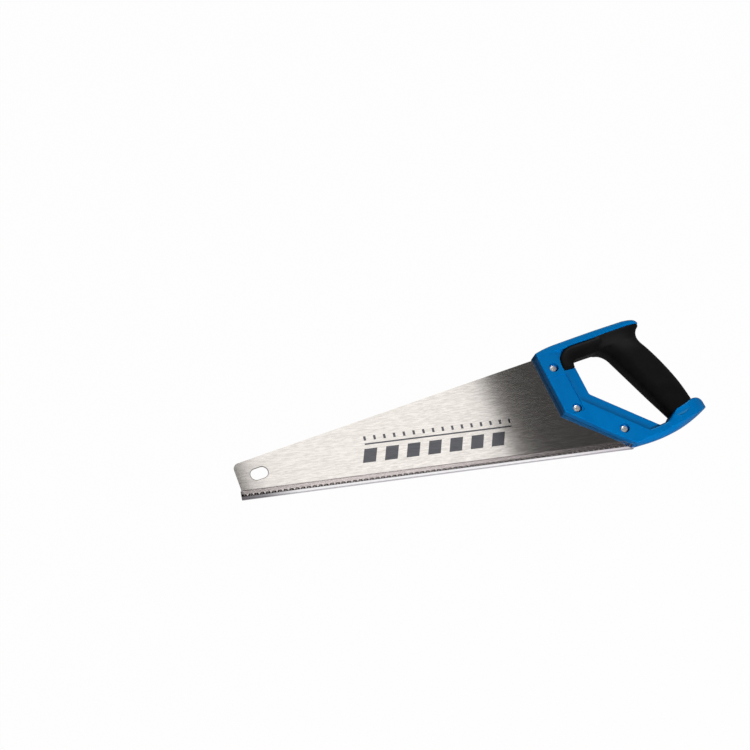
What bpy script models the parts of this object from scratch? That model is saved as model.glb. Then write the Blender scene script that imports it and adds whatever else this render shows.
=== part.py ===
"""Hand saw: toothed steel blade, moulded handle with a soft grip, binding screws and a tooth guard.

The saw lies on its side. X runs along the tooth tips from the toe to the handle, Y from the teeth
towards the spine, and Z is square to the blade. Handle pieces are drawn in the handle's own axes:
x along the spine from the front edge, y away from the teeth and z square to the blade.
Every length is in metres.
"""

import math

import bmesh
import bpy
from mathutils import Vector

# Blade
BLADE_THICKNESS = 0.0009
SPINE_ANGLE = math.radians(12.54)
TOE_HEIGHT = 0.0332
TOE_LEAN = math.radians(8.7)
TOE_RADIUS = 0.0055
TOE_RADIUS_STEPS = 6
TANG_DEPTH = 0.0180
HEEL_GAP = 0.0008
HANG_SLOT_LENGTH = 0.0174
HANG_SLOT_WIDTH = 0.0113
HANG_SLOT_FROM_TOE = 0.0168
HANG_SLOT_FROM_SPINE = 0.0163

# Teeth, ground to alternate sides
TOOTH_PITCH = 0.0028222
TOOTH_DEPTH = 0.0022
TOOTH_TIP_OFFSET = 0.0011
TOOTH_FLEAM = 0.0008
TOOTH_SET = 0.0002

# Fits
MOULD_CLEARANCE = 0.0003
SLOT_CLEARANCE = 0.0003
SCREW_CLEARANCE = 0.0003
GUARD_CLEARANCE = 0.0003

# Handle plate with its 90 and 45 degree marking edges
HANDLE_FRONT = 0.3297
FRONT_EDGE = 0.0640
MITRE_ANGLE = math.radians(45)
BAR_WIDTH = 0.0350
STRIP_WIDTH = 0.0316
PLATE_THICKNESS = 0.0160
RIM_THICKNESS = 0.0090
PLATEAU_WIDTH = 0.0205
PLATE_ROOT = 0.0031
EDGE_CHAMFER = 0.0010
EDGE_DRAFT = 0.0003

# Top rail: length, crown above the spine, underside below the spine, and thickness
RAIL_LENGTH = 0.1234
RAIL_FRONT_RISE = 0.0032
RAIL_CROWN = 0.0076
RAIL_CROWN_FROM_FRONT = 0.0794
RAIL_DROP = 0.0038
RAIL_FRONT_THICKNESS = 0.0160
RAIL_THICKNESS = 0.0212
RAIL_NOSE = 0.0160
RAIL_SETBACK = 0.0003

# Lower arm and tail, measured from the heel of the handle
ARM_DEPTH = 0.0124
ARM_THICKNESS = 0.0158
ARM_BELLY = 0.0024
ARM_BELLY_FROM_HEEL = 0.0260
ARM_SWEEP_RADIUS = 0.1690
ARM_CORNER = 0.0030
ARM_HEEL_KEEL = 0.0015
ARM_KEEL = 0.0045
ARM_KEEL_FROM_HEEL = 0.0160
TAIL_KEEL = 0.0012
TAIL_CORNER = 0.0055
TAIL_REACH = 0.0916
TAIL_DEPTH = 0.0194
TAIL_THICKNESS = 0.0250
TAIL_NOSE = 0.0190
TAIL_RISE_START = 0.0440
TAIL_RISE_END = 0.0600

# Soft grip
GRIP_THICKNESS = 0.0282
GRIP_TOP_THICKNESS = 0.0200
GRIP_END_THICKNESS = 0.0236
GRIP_SWELL_DEPTH = 0.0320
GRIP_TAPER_DEPTH = 0.0700
GRIP_LEAN = math.radians(21.0)
HOLE_TOP = 0.0155
HOLE_WIDTH = 0.0380
HOLE_ARCH_RADIUS = 0.0115
THROAT_FROM_FRONT = 0.1151
THROAT_DEPTH = 0.0175
THROAT_RADIUS = 0.0155
BACK_LEAN = math.radians(24.5)
BACK_RADIUS = 0.2000
SLEEVE_TOP = 0.0010
SLEEVE_WALL = 0.0030
LEG_LEFT = 0.0207
LEG_LENGTH = 0.0233
LEG_ARC_HEIGHT = 0.0150
LEG_THICKNESS = 0.0196
LEG_ROUND = 0.0060
HOLE_CORNER_RADIUS = 0.0065
WEB_THICKNESS = 0.0084
WEB_ROOT = 0.0050

# Binding screws
UPPER_SCREW_FROM_FRONT = 0.0116
UPPER_SCREW_DROP = 0.0166
MIDDLE_SCREW_ALONG = 0.0103
LOWER_SCREW_ALONG = 0.0623
SCREW_HEAD_DIAMETER = 0.0076
SCREW_HEAD_HEIGHT = 0.0018
SCREW_SHANK_DIAMETER = 0.0034
SCREW_RECESS_WIDTH = 0.0010
SCREW_RECESS_LENGTH = 0.0042
SCREW_RECESS_DEPTH = 0.0009
BARREL_DIAMETER = 0.0056
BARREL_FLOOR = 0.0010
COUNTERBORE_DEPTH = 0.0042
COUNTERBORE_DIAMETER = 0.0094

# Tooth guard, a clear channel pushed over the teeth
GUARD_WALL = 0.0008
GUARD_LIP = 0.0058
GUARD_DROP = 0.0034
GUARD_ROOM = 0.0010
GUARD_START = -0.0006
GUARD_END_GAP = 0.0024
GUARD_MITRE_GAP = 0.0006

# Resolution and squareness of round shapes
RING_POINTS = 24
ROUND_STEPS = 24
LOFT_STEPS = 14
ARCH_STEPS = 6
NOSE_STEPS = 6
NOSE_TURN = math.radians(80)
LEG_ROUND_STEPS = 3
COVE_STEPS = 4
CORNER_STEPS = 3
KEEL_STEPS = 6
COVE_POWER = 2.4
RAIL_FRONT_POWER = 8.0
RAIL_NOSE_POWER = 3.4
GRIP_POWER = 2.3
MERGE_DISTANCE = 1e-6

SAW = bpy.data.collections.new("hand_saw")
CUTTERS = bpy.data.collections.new("hand_saw_cutters")


def clear_scene():
    for old in list(bpy.data.objects):
        bpy.data.objects.remove(old, do_unlink=True)
    bpy.context.scene.collection.children.link(SAW)
    bpy.context.scene.collection.children.link(CUTTERS)


def finish_material(name, colour, roughness, metallic):
    material = bpy.data.materials.new(name)
    material.use_nodes = True
    shader = material.node_tree.nodes["Principled BSDF"]
    shader.inputs["Base Color"].default_value = (*colour, 1.0)
    shader.inputs["Roughness"].default_value = roughness
    shader.inputs["Metallic"].default_value = metallic
    return material


def add_object(name, shape, parent, material=None):
    """Turn a bmesh into an object; without a material it is a hidden cutter."""
    bmesh.ops.recalc_face_normals(shape, faces=shape.faces)
    mesh = bpy.data.meshes.new(name)
    shape.to_mesh(mesh)
    shape.free()
    thing = bpy.data.objects.new(name, mesh)
    thing.parent = parent
    if material:
        mesh.materials.append(material)
        SAW.objects.link(thing)
    else:
        thing.hide_render = True
        thing.display_type = "WIRE"
        CUTTERS.objects.link(thing)
    return thing


def combine(base, operand, operation):
    step = base.modifiers.new(f"{operation.lower()} {operand.name}", "BOOLEAN")
    step.object = operand
    step.operation = operation
    step.solver = "EXACT"


def loft(rings):
    """Closed solid through rings that all have the same number of points."""
    shape = bmesh.new()
    rows = [[shape.verts.new(point) for point in ring] for ring in rings]
    count = len(rows[0])
    for lower, upper in zip(rows, rows[1:]):
        for i in range(count):
            j = (i + 1) % count
            shape.faces.new((lower[i], lower[j], upper[j], upper[i]))
    bmesh.ops.triangulate(shape, faces=shape.faces)
    shape.faces.new(rows[0])
    shape.faces.new(rows[-1])
    return shape


def level(outline, height):
    return [Vector((x, y, height)) for x, y in outline]


def slab(outline, thickness):
    """Flat outline drawn out to a thickness, half to each side."""
    shape = bmesh.new()
    base = shape.faces.new([shape.verts.new(point) for point in level(outline, -thickness / 2)])
    drawn = bmesh.ops.extrude_face_region(shape, geom=[base])["geom"]
    top = [item for item in drawn if isinstance(item, bmesh.types.BMVert)]
    bmesh.ops.translate(shape, verts=top, vec=(0, 0, thickness))
    return shape


def oval(half_width, half_height, power):
    """Points of a superellipse, with a flat step at each side, top and bottom."""
    points = []
    for i in range(RING_POINTS):
        turn = math.tau * (i + 0.5) / RING_POINTS
        across = math.copysign(abs(math.cos(turn)) ** (2 / power), math.cos(turn))
        up = math.copysign(abs(math.sin(turn)) ** (2 / power), math.sin(turn))
        points.append((half_width * across, half_height * up))
    return points


def keeled(half_depth, half_width, corner, keel):
    """Points of a bar with a flat top, soft upper corners and a keel below a ridge on each side."""
    half = arc((half_depth - corner, half_width - corner), corner, corner, 0, 90, CORNER_STEPS)
    half += [(keel * share * share - half_depth, half_width * share) for share in spread(1, 0, KEEL_STEPS)]
    return half + [(up, -out) for up, out in half[-2::-1]]


def arc(centre, radius_x, radius_y, start, end, steps):
    """Points of an elliptical arc, angles in degrees."""
    points = []
    for i in range(steps + 1):
        turn = math.radians(start + (end - start) * i / steps)
        points.append((centre[0] + radius_x * math.cos(turn), centre[1] + radius_y * math.sin(turn)))
    return points


def ease(value, start, end):
    """Smooth rise from 0 at start to 1 at end."""
    share = min(max((value - start) / (end - start), 0.0), 1.0)
    return share * share * (3 - 2 * share)


def spread(start, end, steps):
    return [start + (end - start) * i / steps for i in range(steps + 1)]


def rounded_stations(start, end, length):
    """Places along a bar with a rounded end, each with the share of its full size there."""
    stations = [(place, 1.0) for place in spread(start, end - length, LOFT_STEPS)[:-1]]
    for i in range(NOSE_STEPS + 1):
        turn = NOSE_TURN * i / NOSE_STEPS
        stations.append((end - length + length * math.sin(turn), math.cos(turn)))
    return stations


def cylinder(radius, bottom, top, centre=(0, 0)):
    shape = bmesh.new()
    bmesh.ops.create_cone(
        shape, cap_ends=True, segments=ROUND_STEPS, radius1=radius, radius2=radius, depth=top - bottom
    )
    bmesh.ops.translate(shape, verts=shape.verts, vec=(*centre, (top + bottom) / 2))
    return shape


def mitre_start():
    """Corner of the handle where the 90 degree edge turns into the 45 degree edge."""
    return Vector((0, -FRONT_EDGE))


def mitre_point(along, inset):
    """Point at a distance along the 45 degree edge from its corner, and in from that edge."""
    across = math.sin(MITRE_ANGLE)
    down = math.cos(MITRE_ANGLE)
    return mitre_start() + Vector((across, -down)) * along + Vector((down, across)) * inset


def heel_along():
    """Length of the 45 degree edge, from its corner to the line of the tooth tips."""
    rise = TOE_HEIGHT + HANDLE_FRONT * math.sin(SPINE_ANGLE) - FRONT_EDGE * math.cos(SPINE_ANGLE)
    return rise / math.cos(SPINE_ANGLE + MITRE_ANGLE)


def handle_to_saw(x, y):
    """Point of the handle's axes in the blade's axes."""
    along = HANDLE_FRONT + x
    return Vector((
        along * math.cos(SPINE_ANGLE) - y * math.sin(SPINE_ANGLE),
        TOE_HEIGHT + along * math.sin(SPINE_ANGLE) + y * math.cos(SPINE_ANGLE),
    ))


def bar_corner(width):
    """Inner corner of a strip of that width along the 90 and 45 degree edges."""
    return mitre_start() + Vector((width, width * math.tan(MITRE_ANGLE / 2)))


def inner_corner(bar, strip):
    """Where lines at those distances from the 90 and 45 degree edges meet."""
    drop = (bar * math.cos(MITRE_ANGLE) - strip) / math.sin(MITRE_ANGLE)
    return mitre_start() + Vector((bar, -drop))


def screw_places():
    """Screws in the handle's axes, the two lower ones on the middle line of the plateau."""
    middle = PLATEAU_WIDTH / 2
    return {
        "upper": Vector((UPPER_SCREW_FROM_FRONT, -UPPER_SCREW_DROP)),
        "middle": mitre_point(MIDDLE_SCREW_ALONG, middle),
        "lower": mitre_point(LOWER_SCREW_ALONG, middle),
    }


def tang_outline(grow, reach):
    """Outline of the blade inside the handle, or of its slot when grown and drawn out at the front."""
    depth = TANG_DEPTH + grow
    heel = heel_along() - HEEL_GAP + grow
    return [
        Vector((-reach, grow)),
        Vector((depth, grow)),
        bar_corner(depth),
        mitre_point(heel, depth),
        mitre_point(heel, -reach),
        bar_corner(-reach),
    ]


def blade_outline():
    """Outline of the blade without teeth, and the number of teeth on its lower edge."""
    _, back, corner, heel, foot, _ = tang_outline(0, 0)
    end = handle_to_saw(*foot).x
    teeth = int(end / TOOTH_PITCH)
    roots = [Vector((end - TOOTH_PITCH * (teeth - i), TOOTH_DEPTH)) for i in range(teeth + 1)]
    heel_step = Vector((end, TOOTH_DEPTH + HEEL_GAP))
    tang = [handle_to_saw(*point) for point in (heel, corner, back)]
    return roots + [heel_step] + tang + toe_arc(roots[0]), teeth


def toe_arc(foot):
    """Rounded top corner of the toe, between the spine and the leaning toe edge."""
    edge = Vector((-math.sin(TOE_LEAN), math.cos(TOE_LEAN)))
    spine = Vector((math.cos(SPINE_ANGLE), math.sin(SPINE_ANGLE)))
    start = Vector((0, TOE_HEIGHT))
    across = edge.x * spine.y - edge.y * spine.x
    gap = start - foot
    corner = foot + edge * ((gap.x * spine.y - gap.y * spine.x) / across)
    half = edge.angle(spine) / 2
    centre = corner + (spine - edge).normalized() * (TOE_RADIUS / math.cos(half))
    first = math.degrees(SPINE_ANGLE) + 90
    last = math.degrees(TOE_LEAN) + 180
    return [Vector(p) for p in arc(centre, TOE_RADIUS, TOE_RADIUS, first, last, TOE_RADIUS_STEPS)]


def cut_teeth(shape, teeth):
    """Draw each facet of the lower edge out into a tooth, its tip ground and set to alternate sides."""
    facets = [
        face for face in shape.faces
        if all(abs(v.co.y - TOOTH_DEPTH) < MERGE_DISTANCE for v in face.verts)
    ]
    facets.sort(key=lambda face: face.calc_center_median().x)
    drawn = bmesh.ops.extrude_discrete_faces(shape, faces=facets[:teeth])["faces"]
    drawn.sort(key=lambda face: face.calc_center_median().x)
    for i, face in enumerate(drawn):
        side = 1 if i % 2 else -1
        tip = min(v.co.x for v in face.verts) + TOOTH_TIP_OFFSET
        for v in face.verts:
            leading = v.co.z * side > 0
            v.co.x = tip
            v.co.y = 0 if leading else TOOTH_FLEAM
            v.co.z += TOOTH_SET * side
    bmesh.ops.remove_doubles(shape, verts=shape.verts, dist=MERGE_DISTANCE)


def build_blade(parent, handle, material):
    outline, teeth = blade_outline()
    shape = slab(outline, BLADE_THICKNESS)
    bmesh.ops.recalc_face_normals(shape, faces=shape.faces)
    cut_teeth(shape, teeth)
    blade = add_object("blade", shape, parent, material)
    half = (HANG_SLOT_LENGTH - HANG_SLOT_WIDTH) / 2
    radius = HANG_SLOT_WIDTH / 2
    place = Vector((HANG_SLOT_FROM_TOE - HANDLE_FRONT, -HANG_SLOT_FROM_SPINE))
    ends = arc(place + Vector((half, 0)), radius, radius, -90, 90, ROUND_STEPS // 2)
    ends += arc(place - Vector((half, 0)), radius, radius, 90, 270, ROUND_STEPS // 2)
    hang_slot = add_object("hang_slot_cutter", slab(ends, PLATE_THICKNESS), handle)
    combine(blade, hang_slot, "DIFFERENCE")
    for name, place in screw_places().items():
        hole = cylinder(BARREL_DIAMETER / 2 + SCREW_CLEARANCE, -PLATE_THICKNESS, PLATE_THICKNESS, place)
        combine(blade, add_object(f"{name}_blade_hole_cutter", hole, handle), "DIFFERENCE")
    return blade


def plate_outline(inset, slope):
    """Outline of the plate: inset trims its marking edges, slope 1 draws the inside back to the plateau."""
    heel = heel_along()
    bar = BAR_WIDTH + (PLATEAU_WIDTH - BAR_WIDTH) * slope
    strip = STRIP_WIDTH + (PLATEAU_WIDTH - STRIP_WIDTH) * slope
    arm_line = mitre_point(heel, 0).y - ARM_BELLY + ARM_DEPTH - PLATE_ROOT
    inner_along = (mitre_point(0, strip).y - arm_line) / math.cos(MITRE_ANGLE)
    return [
        (inset, -RAIL_SETBACK),
        tuple(bar_corner(inset)),
        tuple(mitre_point(heel - inset, inset)),
        tuple(mitre_point(heel + ARM_DEPTH / 2, ARM_DEPTH)),
        tuple(mitre_point(inner_along, strip)),
        tuple(inner_corner(bar, strip)),
        (bar, -RAIL_SETBACK),
    ]


def plate_form():
    """Flat plate with a chamfer round its marking edges and a hollow slope down to the hand hole."""
    half = PLATE_THICKNESS / 2
    rim = RIM_THICKNESS / 2
    side = []
    for share in spread(0, 1, COVE_STEPS):
        height = rim + (half - EDGE_CHAMFER - rim) * share
        side.append((height, EDGE_DRAFT * share, ((height - rim) / (half - rim)) ** (1 / COVE_POWER)))
    side.append((half, EDGE_DRAFT + EDGE_CHAMFER, 1))
    rings = [level(plate_outline(inset, slope), -height) for height, inset, slope in reversed(side)]
    rings += [level(plate_outline(inset, slope), height) for height, inset, slope in side]
    return loft(rings)


def rail_form(grow):
    """Top rail: crowned bar over the spine, square in front, with a rounded nose behind."""
    rings = []
    for x, shrink in rounded_stations(RAIL_SETBACK - grow, RAIL_LENGTH + grow, RAIL_NOSE):
        before = (x - RAIL_CROWN_FROM_FRONT) / RAIL_CROWN_FROM_FRONT
        crown = RAIL_CROWN - (RAIL_CROWN - RAIL_FRONT_RISE) * before * before
        widen = ease(x, 0, RAIL_CROWN_FROM_FRONT)
        thickness = RAIL_FRONT_THICKNESS + (RAIL_THICKNESS - RAIL_FRONT_THICKNESS) * widen
        half_height = (crown + RAIL_DROP) / 2 * shrink
        power = RAIL_FRONT_POWER + (RAIL_NOSE_POWER - RAIL_FRONT_POWER) * ease(x, 0, RAIL_LENGTH)
        ring = oval(half_height + grow, thickness / 2 * shrink + grow, power)
        rings.append([Vector((x, half_height - RAIL_DROP + up, out)) for up, out in ring])
    return loft(rings)


def arm_form(grow):
    """Lower arm sweeping from the heel to the tail behind the grip, with a keel below its ridge."""
    heel = mitre_point(heel_along(), 0)
    rings = []
    for along, shrink in rounded_stations(EDGE_CHAMFER - grow, TAIL_REACH + grow, TAIL_NOSE):
        offset = along - ARM_BELLY_FROM_HEEL
        bottom = heel.y - ARM_BELLY + ARM_SWEEP_RADIUS - math.sqrt(ARM_SWEEP_RADIUS**2 - offset**2)
        rise = ease(along, TAIL_RISE_START, TAIL_RISE_END)
        half_depth = (ARM_DEPTH + (TAIL_DEPTH - ARM_DEPTH) * rise) / 2 * shrink
        half_thickness = (ARM_THICKNESS + (TAIL_THICKNESS - ARM_THICKNESS) * rise) / 2 * shrink
        keel = ARM_HEEL_KEEL + (ARM_KEEL - ARM_HEEL_KEEL) * ease(along, 0, ARM_KEEL_FROM_HEEL)
        keel = (keel + (TAIL_KEEL - ARM_KEEL) * ease(along, TAIL_RISE_START, TAIL_REACH)) * shrink
        corner = (ARM_CORNER + (TAIL_CORNER - ARM_CORNER) * rise) * shrink
        ring = keeled(half_depth + grow, half_thickness + grow, corner + grow, keel + grow)
        rings.append([Vector((heel.x + along, bottom + half_depth + up, out)) for up, out in ring])
    return loft(rings)


def grip_front(depth):
    """Front of the grip at a depth below the spine, with the arch at the top of the hand hole."""
    line = BAR_WIDTH + HOLE_WIDTH + (depth - HOLE_TOP) * math.tan(GRIP_LEAN)
    short = min(max(HOLE_TOP + HOLE_ARCH_RADIUS - depth, 0), HOLE_ARCH_RADIUS)
    return line - HOLE_ARCH_RADIUS + math.sqrt(HOLE_ARCH_RADIUS**2 - short**2)


def grip_back(depth):
    """Back of the grip: a throat for the web of the thumb above a long swell."""
    meet = THROAT_DEPTH + THROAT_RADIUS * math.sin(BACK_LEAN)
    offset = max(min(depth, meet) - THROAT_DEPTH, -THROAT_RADIUS)
    throat = THROAT_FROM_FRONT + THROAT_RADIUS - math.sqrt(THROAT_RADIUS**2 - offset**2)
    run = max(depth - meet, 0)
    swell = run * math.tan(BACK_LEAN) - run * run / (2 * BACK_RADIUS)
    return min(throat, RAIL_LENGTH - EDGE_CHAMFER) + swell


def grip_end():
    """Depth below the spine at which grip and core end, in the middle of the tail."""
    return -mitre_point(heel_along(), 0).y - TAIL_DEPTH / 2


def grip_depths(top, bottom):
    """Depths of the grip's sections, closer together round the arch of the hand hole."""
    depths = spread(top, HOLE_TOP, ARCH_STEPS // 2)[:-1]
    for i in range(ARCH_STEPS):
        depths.append(HOLE_TOP + HOLE_ARCH_RADIUS * (1 - math.cos(math.pi / 2 * i / ARCH_STEPS)))
    return depths + spread(HOLE_TOP + HOLE_ARCH_RADIUS, bottom, LOFT_STEPS)


def grip_form(inset, top, bottom):
    """Oval grip between two depths, or the core inside it when inset."""
    rings = []
    for depth in grip_depths(top, bottom):
        front = grip_front(depth) + inset
        back = grip_back(depth) - inset
        swell = ease(depth, 0, GRIP_SWELL_DEPTH)
        taper = ease(depth, GRIP_TAPER_DEPTH, grip_end())
        thickness = GRIP_TOP_THICKNESS + (GRIP_THICKNESS - GRIP_TOP_THICKNESS) * swell
        thickness += (GRIP_END_THICKNESS - GRIP_THICKNESS) * taper
        ring = oval((back - front) / 2, thickness / 2 - inset, GRIP_POWER)
        rings.append([Vector(((front + back) / 2 + across, -depth, out)) for across, out in ring])
    return loft(rings)


def hole_corner(inset):
    """Rounded upper front corner of the hand hole, from its top edge to its front edge."""
    radius = HOLE_CORNER_RADIUS + inset
    centre = (BAR_WIDTH + HOLE_CORNER_RADIUS, -HOLE_TOP - HOLE_CORNER_RADIUS)
    return arc(centre, radius, radius, 90, 180, ARCH_STEPS)


def leg_outline(grow, inset):
    """Outline of the rubber in front of and above the hand hole; inset draws back its hole side."""
    shoulder = (BAR_WIDTH, -RAIL_DROP - LEG_ARC_HEIGHT)
    left = arc(shoulder, BAR_WIDTH - LEG_LEFT + grow, LEG_ARC_HEIGHT + grow, 180, 90, ARCH_STEPS)
    right = BAR_WIDTH + HOLE_WIDTH
    bottom = -LEG_LENGTH - grow
    outline = [(LEG_LEFT - grow, bottom)] + left + [(right, grow - RAIL_DROP), (right, inset - HOLE_TOP)]
    return outline + hole_corner(inset) + [(BAR_WIDTH - inset, bottom)]


def leg_form():
    """Rubber beside the hand hole, rounded towards the fingers on both faces."""
    side = []
    for i in range(LEG_ROUND_STEPS + 1):
        turn = math.pi / 2 * i / LEG_ROUND_STEPS
        height = LEG_THICKNESS / 2 - LEG_ROUND * (1 - math.sin(turn))
        side.append((height, LEG_ROUND * (1 - math.cos(turn))))
    rings = [level(leg_outline(0, inset), -height) for height, inset in reversed(side)]
    rings += [level(leg_outline(0, inset), height) for height, inset in side]
    return loft(rings)


def web_form(inset):
    """Plastic web that the rubber wraps, between plate, rail and grip core."""
    left = LEG_LEFT - WEB_ROOT
    bottom = -LEG_LENGTH - WEB_ROOT
    right = BAR_WIDTH + HOLE_WIDTH
    outline = [(left, RAIL_SETBACK), (left, bottom), (BAR_WIDTH - inset, bottom)]
    outline += hole_corner(inset)[::-1] + [(right, inset - HOLE_TOP), (right, RAIL_SETBACK)]
    return slab(outline, WEB_THICKNESS - 2 * (inset - SLEEVE_WALL))


def build_frame(handle, material):
    """Blue moulding: plate, rail, arm and core in one, slotted for the blade and bored for the screws."""
    frame = add_object("handle_frame", plate_form(), handle, material)
    pocket = slab(leg_outline(MOULD_CLEARANCE, -SLEEVE_WALL), PLATE_THICKNESS * 2)
    combine(frame, add_object("rubber_pocket_cutter", pocket, handle), "DIFFERENCE")
    inner = SLEEVE_WALL + MOULD_CLEARANCE
    solids = {
        "rail_form": rail_form(0),
        "arm_form": arm_form(0),
        "web_form": web_form(inner),
        "core_form": grip_form(inner, 0, grip_end()),
    }
    for name, shape in solids.items():
        combine(frame, add_object(name, shape, handle), "UNION")
    slot = slab(tang_outline(SLOT_CLEARANCE, PLATE_THICKNESS), BLADE_THICKNESS + 2 * SLOT_CLEARANCE)
    combine(frame, add_object("blade_slot_cutter", slot, handle), "DIFFERENCE")
    seat = PLATE_THICKNESS / 2 - COUNTERBORE_DEPTH
    for name, place in screw_places().items():
        bore = turned_solid([
            (COUNTERBORE_DIAMETER / 2, PLATE_THICKNESS),
            (COUNTERBORE_DIAMETER / 2, seat),
            (BARREL_DIAMETER / 2 + SCREW_CLEARANCE, seat),
            (BARREL_DIAMETER / 2 + SCREW_CLEARANCE, -seat),
            (COUNTERBORE_DIAMETER / 2, -seat),
            (COUNTERBORE_DIAMETER / 2, -PLATE_THICKNESS),
        ])
        bmesh.ops.translate(bore, verts=bore.verts, vec=(*place, 0))
        combine(frame, add_object(f"{name}_bore_cutter", bore, handle), "DIFFERENCE")
    return frame


def build_sleeve(handle, material):
    """Black rubber: grip and leg in one, hollow round the core and cut back from rail and tail."""
    sleeve = add_object("grip_sleeve", grip_form(0, SLEEVE_TOP, grip_end()), handle, material)
    combine(sleeve, add_object("leg_form", leg_form(), handle), "UNION")
    hollows = {
        "rail_cutter": rail_form(MOULD_CLEARANCE),
        "arm_cutter": arm_form(MOULD_CLEARANCE),
        "web_cutter": web_form(SLEEVE_WALL),
        "core_cutter": grip_form(SLEEVE_WALL, 0, grip_end()),
    }
    for name, shape in hollows.items():
        combine(sleeve, add_object(name, shape, handle), "DIFFERENCE")
    return sleeve


def turned_solid(profile):
    """Solid turned about Z from (radius, height) points, top to bottom, closed at both ends."""
    rings = []
    for radius, height in profile:
        turns = [math.tau * i / ROUND_STEPS for i in range(ROUND_STEPS)]
        rings.append([Vector((radius * math.cos(t), radius * math.sin(t), height)) for t in turns])
    return loft(rings)


def build_screw(name, place, handle, material):
    """Screw with a cross recess, its head in the counterbore and its shank in the barrel nut."""
    under = PLATE_THICKNESS / 2 - COUNTERBORE_DEPTH + SCREW_CLEARANCE
    top = under + SCREW_HEAD_HEIGHT
    head = SCREW_HEAD_DIAMETER / 2
    shank = SCREW_SHANK_DIAMETER / 2
    shape = turned_solid([
        (head - EDGE_CHAMFER, top),
        (head, top - EDGE_CHAMFER),
        (head, under),
        (shank, under),
        (shank, SCREW_CLEARANCE + BARREL_FLOOR - top),
    ])
    bmesh.ops.translate(shape, verts=shape.verts, vec=(*place, 0))
    screw = add_object(f"{name}_screw", shape, handle, material)
    sizes = ((SCREW_RECESS_LENGTH, SCREW_RECESS_WIDTH), (SCREW_RECESS_WIDTH, SCREW_RECESS_LENGTH))
    for i, (length, width) in enumerate(sizes):
        groove = bmesh.new()
        bmesh.ops.create_cube(groove, size=1)
        bmesh.ops.scale(groove, verts=groove.verts, vec=(length, width, SCREW_RECESS_DEPTH * 2))
        bmesh.ops.translate(groove, verts=groove.verts, vec=(*place, top))
        combine(screw, add_object(f"{name}_recess_cutter_{i + 1}", groove, handle), "DIFFERENCE")
    return screw


def build_nut(name, place, handle, material):
    """Barrel nut from the other face: a flanged sleeve that the screw runs into."""
    under = PLATE_THICKNESS / 2 - COUNTERBORE_DEPTH + SCREW_CLEARANCE
    bottom = under + SCREW_HEAD_HEIGHT
    head = SCREW_HEAD_DIAMETER / 2
    bore = SCREW_SHANK_DIAMETER / 2 + SCREW_CLEARANCE
    shape = turned_solid([
        (bore, BARREL_FLOOR - bottom),
        (bore, under - SCREW_CLEARANCE),
        (BARREL_DIAMETER / 2, under - SCREW_CLEARANCE),
        (BARREL_DIAMETER / 2, -under),
        (head, -under),
        (head, EDGE_CHAMFER - bottom),
        (head - EDGE_CHAMFER, -bottom),
    ])
    bmesh.ops.translate(shape, verts=shape.verts, vec=(*place, 0))
    return add_object(f"{name}_barrel_nut", shape, handle, material)


def build_guard(saw, handle, material):
    """Clear channel over the teeth: its lips nip the blade and its end is mitred along the handle."""
    lip = BLADE_THICKNESS / 2 + GUARD_CLEARANCE
    room = BLADE_THICKNESS / 2 + GUARD_ROOM
    centre = (GUARD_WALL + room - GUARD_DROP, 0)
    outer = room + GUARD_WALL
    profile = [(GUARD_LIP, lip), (GUARD_LIP, lip + GUARD_WALL)]
    profile += arc(centre, outer, outer, 90, 270, ARCH_STEPS * 2)
    profile += [(GUARD_LIP, -lip - GUARD_WALL), (GUARD_LIP, -lip)]
    profile += arc(centre, room, room, 270, 90, ARCH_STEPS * 2)
    end = handle_to_saw(*mitre_point(heel_along(), 0)).x - GUARD_END_GAP
    rings = [[Vector((x, y, z)) for y, z in profile] for x in (GUARD_START, end)]
    guard = add_object("tooth_guard", loft(rings), saw, material)
    reach = heel_along()
    wedge = [mitre_point(along, inset) for along, inset in (
        (0, -GUARD_MITRE_GAP), (reach * 2, -GUARD_MITRE_GAP), (reach * 2, reach), (0, reach)
    )]
    combine(guard, add_object("guard_mitre_cutter", slab(wedge, PLATE_THICKNESS), handle), "DIFFERENCE")
    return guard


def stand_on_origin(saw, pieces):
    """Move the saw so that the origin lies under its middle, on the surface that it lies on."""
    bpy.context.view_layer.update()
    view = bpy.context.evaluated_depsgraph_get()
    corners = []
    for piece in pieces:
        solid = piece.evaluated_get(view)
        corners += [piece.matrix_world @ vertex.co for vertex in solid.data.vertices]
    low = Vector([min(c[i] for c in corners) for i in range(3)])
    high = Vector([max(c[i] for c in corners) for i in range(3)])
    saw.location = (-(low.x + high.x) / 2, -(low.y + high.y) / 2, -low.z)


def build_saw():
    clear_scene()
    saw = bpy.data.objects.new("saw", None)
    SAW.objects.link(saw)
    handle = bpy.data.objects.new("handle", None)
    handle.parent = saw
    handle.location = (*handle_to_saw(0, 0), 0)
    handle.rotation_euler.z = SPINE_ANGLE
    SAW.objects.link(handle)

    steel = finish_material("blade_steel", (0.62, 0.60, 0.57), 0.35, 1.0)
    blue = finish_material("blue_plastic", (0.0, 0.16, 0.53), 0.42, 0.0)
    black = finish_material("black_rubber", (0.012, 0.012, 0.013), 0.65, 0.0)
    bright = finish_material("screw_steel", (0.75, 0.75, 0.76), 0.25, 1.0)
    clear = finish_material("guard_plastic", (0.78, 0.79, 0.80), 0.30, 0.0)

    pieces = [build_blade(saw, handle, steel), build_frame(handle, blue), build_sleeve(handle, black)]
    for name, place in screw_places().items():
        pieces.append(build_screw(name, place, handle, bright))
        pieces.append(build_nut(name, place, handle, bright))
    pieces.append(build_guard(saw, handle, clear))
    stand_on_origin(saw, pieces)


build_saw()
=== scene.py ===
"""Looks of the hand saw: brushed blade, satin moulding, soft grip, bright screws, clear guard.

Every length is in metres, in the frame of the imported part. Pieces of the handle are drawn in the
handle's own axes, with x along the spine from the front edge, y away from the teeth and z square to
the blade, and are then moved to where the frame has the handle.
"""

import math

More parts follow.
